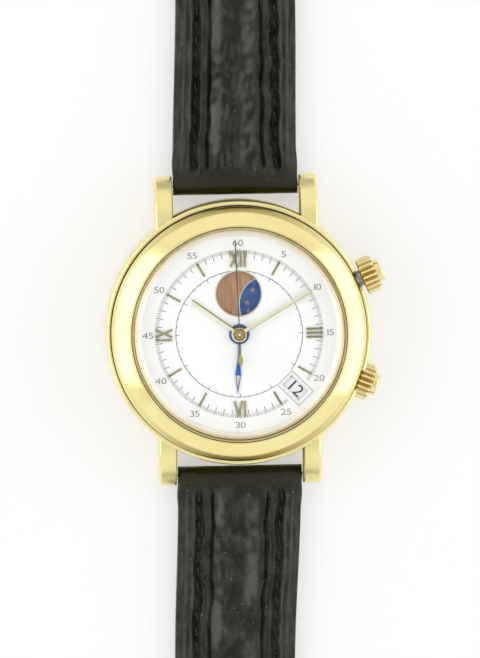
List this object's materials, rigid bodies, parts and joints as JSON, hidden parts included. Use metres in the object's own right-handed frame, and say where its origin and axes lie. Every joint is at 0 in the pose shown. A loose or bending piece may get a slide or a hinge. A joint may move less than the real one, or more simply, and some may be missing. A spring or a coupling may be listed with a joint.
{
  "type": "moon phase wristwatch",
  "caption": "Round gold-plated wristwatch with moon phase, date and alarm hand, two crowns at the side, and a padded leather strap lying open with its buckle.",
  "frame": {"origin": "centre of the case back's flat outer face", "axes": "+Z out of the dial along the axis of the hands, +Y to 12 o'clock along the strap, +X to 3 o'clock and the crowns"},
  "size_m": [0.0402, 0.2438, 0.0116],
  "materials": {
    "gold_plate": "polished",
    "polished_steel": "polished",
    "satin_steel": "satin",
    "inner_ring": "polished",
    "gasket": "translucent ring",
    "seal_rubber": "matte",
    "crystal_glass": "clear",
    "movement_plate": "rhodium plated",
    "wheel_brass": "polished",
    "ruby": "clear",
    "dial_white": "fine matte lacquer",
    "date_white": "matte",
    "moon_copper": "satin",
    "applied_gold": "polished",
    "blued_hand": "gloss",
    "strap_leather": "glossy black calf"
  },
  "bodies": {
    "watch": {"case_middle": "gold_plate", "bezel": "gold_plate", "crystal": "crystal_glass", "crystal_gasket": "gasket", "rehaut_ring": "inner_ring", "case_back": "polished_steel", "case_back_gasket": "seal_rubber", "case_back_screws": "satin_steel", "crown_tubes": "satin_steel", "movement_ring": "movement_plate", "spring_bars": "polished_steel", "main_plate": "movement_plate", "barrel_bridge": "movement_plate", "train_bridge": "movement_plate", "balance_cock": "movement_plate", "bridge_screws": "satin_steel", "movement_jewels": "ruby", "hairspring": "satin_steel", "calendar_plate": "movement_plate", "dial": "dial_white", "moon_window_ring": "applied_gold", "hour_batons": "applied_gold", "roman_numerals": "applied_gold"},
    "upper_left_tip": {"upper_bar_left_tip": "satin_steel"},
    "upper_right_tip": {"upper_bar_right_tip": "satin_steel"},
    "lower_left_tip": {"lower_bar_left_tip": "satin_steel"},
    "lower_right_tip": {"lower_bar_right_tip": "satin_steel"},
    "alarm_slider": {"alarm_sliding_pinion": "satin_steel"},
    "alarm_knob": {"alarm_crown": "gold_plate", "alarm_stem": "satin_steel"},
    "time_slider": {"time_sliding_pinion": "satin_steel"},
    "time_knob": {"time_crown": "gold_plate", "time_stem": "satin_steel"},
    "rotor": {"rotor": "movement_plate"},
    "going_barrel": {"going_barrel": "wheel_brass"},
    "alarm_barrel": {"alarm_barrel": "wheel_brass"},
    "alarm_hammer": {"alarm_hammer": "satin_steel"},
    "centre_wheel": {"centre_wheel": "wheel_brass"},
    "third_wheel": {"third_wheel": "wheel_brass"},
    "seconds_train": {"fourth_wheel": "wheel_brass", "seconds_hand": "applied_gold"},
    "escape_wheel": {"escape_wheel": "wheel_brass"},
    "pallet_fork": {"pallet_fork": "satin_steel"},
    "balance": {"balance_wheel": "wheel_brass"},
    "minute_work": {"cannon_pinion": "wheel_brass", "minute_hand": "applied_gold"},
    "minute_wheel": {"minute_wheel": "satin_steel"},
    "hour_work": {"hour_wheel": "wheel_brass", "hour_hand": "applied_gold"},
    "alarm_work": {"alarm_wheel": "wheel_brass", "alarm_hand": "blued_hand"},
    "date_ring": {"date_ring": "date_white"},
    "moon_disc": {"moon_disc": "moon_copper"},
    "buckle_side": {"buckle_side_strap": "strap_leather", "fixed_keeper": "strap_leather"},
    "free_keeper": {"free_keeper": "strap_leather"},
    "buckle_frame": {"buckle_frame": "gold_plate", "buckle_pin": "gold_plate"},
    "buckle_tongue": {"buckle_tongue": "gold_plate"},
    "tail_side": {"tail_side_strap": "strap_leather"}
  },
  "joints": [
    {"name": "upper_left_tip_slide", "type": "slide", "parent": "watch", "child": "upper_left_tip", "axis": [1, 0, 0], "range_m": [0, 0.0009], "stiffness_N_per_m": 300, "springref_m": -0.0015},
    {"name": "upper_right_tip_slide", "type": "slide", "parent": "watch", "child": "upper_right_tip", "axis": [-1, 0, 0], "range_m": [0, 0.0009], "stiffness_N_per_m": 300, "springref_m": -0.0015},
    {"name": "lower_left_tip_slide", "type": "slide", "parent": "watch", "child": "lower_left_tip", "axis": [1, 0, 0], "range_m": [0, 0.0009], "stiffness_N_per_m": 300, "springref_m": -0.0015},
    {"name": "lower_right_tip_slide", "type": "slide", "parent": "watch", "child": "lower_right_tip", "axis": [-1, 0, 0], "range_m": [0, 0.0009], "stiffness_N_per_m": 300, "springref_m": -0.0015},
    {"name": "alarm_crown_turn", "type": "hinge", "parent": "watch", "child": "alarm_slider", "pos_m": [0.01127, 0.00467, 0.0053], "axis": [0.9239, 0.3827, 0], "continuous": true},
    {"name": "alarm_crown_pull", "type": "slide", "parent": "alarm_slider", "child": "alarm_knob", "axis": [0.9239, 0.3827, 0], "range_m": [-0.00095, 0]},
    {"name": "time_crown_turn", "type": "hinge", "parent": "watch", "child": "time_slider", "pos_m": [0.01127, -0.00467, 0.0053], "axis": [0.9239, -0.3827, 0], "continuous": true},
    {"name": "time_crown_pull", "type": "slide", "parent": "time_slider", "child": "time_knob", "axis": [0.9239, -0.3827, 0], "range_m": [0, 0.0016]},
    {"name": "rotor_turn", "type": "hinge", "parent": "watch", "child": "rotor", "pos_m": [0, 0, 0], "axis": [0, 0, 1], "continuous": true},
    {"name": "barrel_turn", "type": "hinge", "parent": "watch", "child": "going_barrel", "pos_m": [-0.0033, 0.00471, 0], "axis": [0, 0, 1], "continuous": true},
    {"name": "alarm_barrel_turn", "type": "hinge", "parent": "watch", "child": "alarm_barrel", "pos_m": [0.00565, 0.00674, 0], "axis": [0, 0, 1], "continuous": true},
    {"name": "alarm_hammer_swing", "type": "hinge", "parent": "watch", "child": "alarm_hammer", "pos_m": [0.00786, -0.00551, 0.0038], "axis": [0, 0, 1], "range_deg": [-6, 4]},
    {"name": "centre_wheel_turn", "type": "hinge", "parent": "watch", "child": "centre_wheel", "pos_m": [0, 0, 0], "axis": [0, 0, 1], "continuous": true},
    {"name": "third_wheel_turn", "type": "hinge", "parent": "watch", "child": "third_wheel", "pos_m": [0.00244, -0.00348, 0], "axis": [0, 0, 1], "continuous": true},
    {"name": "seconds_turn", "type": "hinge", "parent": "watch", "child": "seconds_train", "pos_m": [0, 0, 0], "axis": [0, 0, 1], "continuous": true},
    {"name": "escape_wheel_turn", "type": "hinge", "parent": "watch", "child": "escape_wheel", "pos_m": [-0.00323, -0.00226, 0], "axis": [0, 0, 1], "continuous": true},
    {"name": "pallet_fork_swing", "type": "hinge", "parent": "watch", "child": "pallet_fork", "pos_m": [-0.00503, -0.00352, 0.0038], "axis": [0, 0, 1], "range_deg": [-6, 6]},
    {"name": "balance_swing", "type": "hinge", "parent": "watch", "child": "balance", "pos_m": [-0.00753, -0.00527, 0.0038], "axis": [0, 0, 1], "range_deg": [-150, 150], "stiffness_Nm_per_rad": 0.00000004},
    {"name": "minute_hand_turn", "type": "hinge", "parent": "watch", "child": "minute_work", "pos_m": [0, 0, 0], "axis": [0, 0, 1], "continuous": true},
    {"name": "minute_wheel_turn", "type": "hinge", "parent": "watch", "child": "minute_wheel", "pos_m": [0.00306, 0, 0], "axis": [0, 0, 1], "continuous": true},
    {"name": "hour_hand_turn", "type": "hinge", "parent": "watch", "child": "hour_work", "pos_m": [0, 0, 0], "axis": [0, 0, 1], "continuous": true},
    {"name": "alarm_hand_turn", "type": "hinge", "parent": "watch", "child": "alarm_work", "pos_m": [0, 0, 0], "axis": [0, 0, 1], "continuous": true},
    {"name": "date_ring_turn", "type": "hinge", "parent": "watch", "child": "date_ring", "pos_m": [0, 0, 0], "axis": [0, 0, 1], "continuous": true},
    {"name": "moon_disc_turn", "type": "hinge", "parent": "watch", "child": "moon_disc", "pos_m": [0, 0, 0], "axis": [0, 0, 1], "continuous": true},
    {"name": "buckle_side_fold", "type": "hinge", "parent": "watch", "child": "buckle_side", "pos_m": [0, 0.0211, 0.0032], "axis": [1, 0, 0], "range_deg": [-75, 60]},
    {"name": "tail_side_fold", "type": "hinge", "parent": "watch", "child": "tail_side", "pos_m": [0, -0.0211, 0.0032], "axis": [-1, 0, 0], "range_deg": [-75, 60]},
    {"name": "free_keeper_slide", "type": "slide", "parent": "buckle_side", "child": "free_keeper", "axis": [0, 1, 0], "range_m": [-0.01, 0.005]},
    {"name": "buckle_frame_swing", "type": "hinge", "parent": "buckle_side", "child": "buckle_frame", "pos_m": [0, 0.0961, 0.0015], "axis": [1, 0, 0], "range_deg": [-35, 50]},
    {"name": "buckle_tongue_swing", "type": "hinge", "parent": "buckle_frame", "child": "buckle_tongue", "pos_m": [0, 0.0961, 0.0015], "axis": [1, 0, 0], "range_deg": [0, 60]}
  ],
  "couplings": [
    {"joint": "third_wheel_turn", "follows": "seconds_turn", "ratio": -0.13333},
    {"joint": "centre_wheel_turn", "follows": "seconds_turn", "ratio": 0.016667},
    {"joint": "barrel_turn", "follows": "seconds_turn", "ratio": -0.0027778},
    {"joint": "escape_wheel_turn", "follows": "seconds_turn", "ratio": -12},
    {"joint": "minute_wheel_turn", "follows": "minute_hand_turn", "ratio": -0.33333},
    {"joint": "hour_hand_turn", "follows": "minute_hand_turn", "ratio": 0.083333},
    {"joint": "alarm_hand_turn", "follows": "alarm_crown_turn", "ratio": -0.25}
  ]
}
